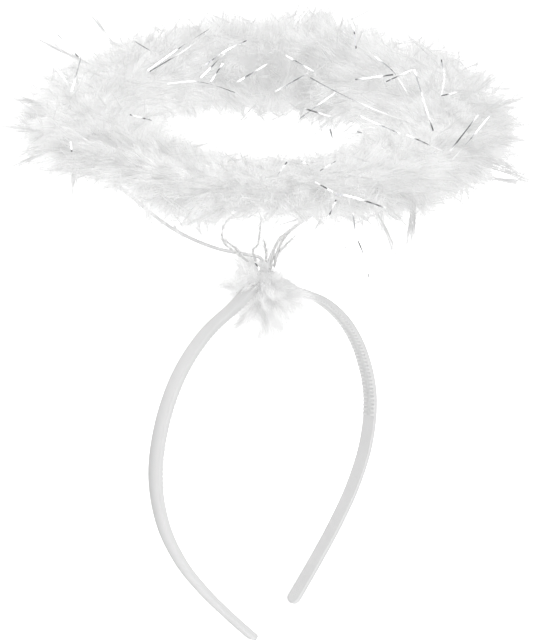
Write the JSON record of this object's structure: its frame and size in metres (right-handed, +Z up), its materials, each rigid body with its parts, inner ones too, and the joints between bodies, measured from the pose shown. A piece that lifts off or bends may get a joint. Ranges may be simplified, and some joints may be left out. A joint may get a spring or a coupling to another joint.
{
  "type": "halo headband",
  "caption": "Costume halo of fluffy marabou down on a wire ring, carried by two wire legs above a toothed plastic headband.",
  "frame": {"origin": "bottom centre of the bounding box, on the surface that the headpiece lies on", "axes": "+Z up from that surface, +Y from the tips of the band towards the halo, +X to the wearer's right hand side as the piece lies on its back"},
  "size_m": [0.1746, 0.2332, 0.1537],
  "materials": {
    "band_plastic": "moulded, satin smooth",
    "coated_wire": "white coated steel wire",
    "marabou_down": "fine white down with silver tinsel"
  },
  "bodies": {
    "root": {"headband": "band_plastic", "halo_wire": "coated_wire", "marabou_halo": "marabou_down", "marabou_tuft": "marabou_down"}
  },
  "joints": []
}
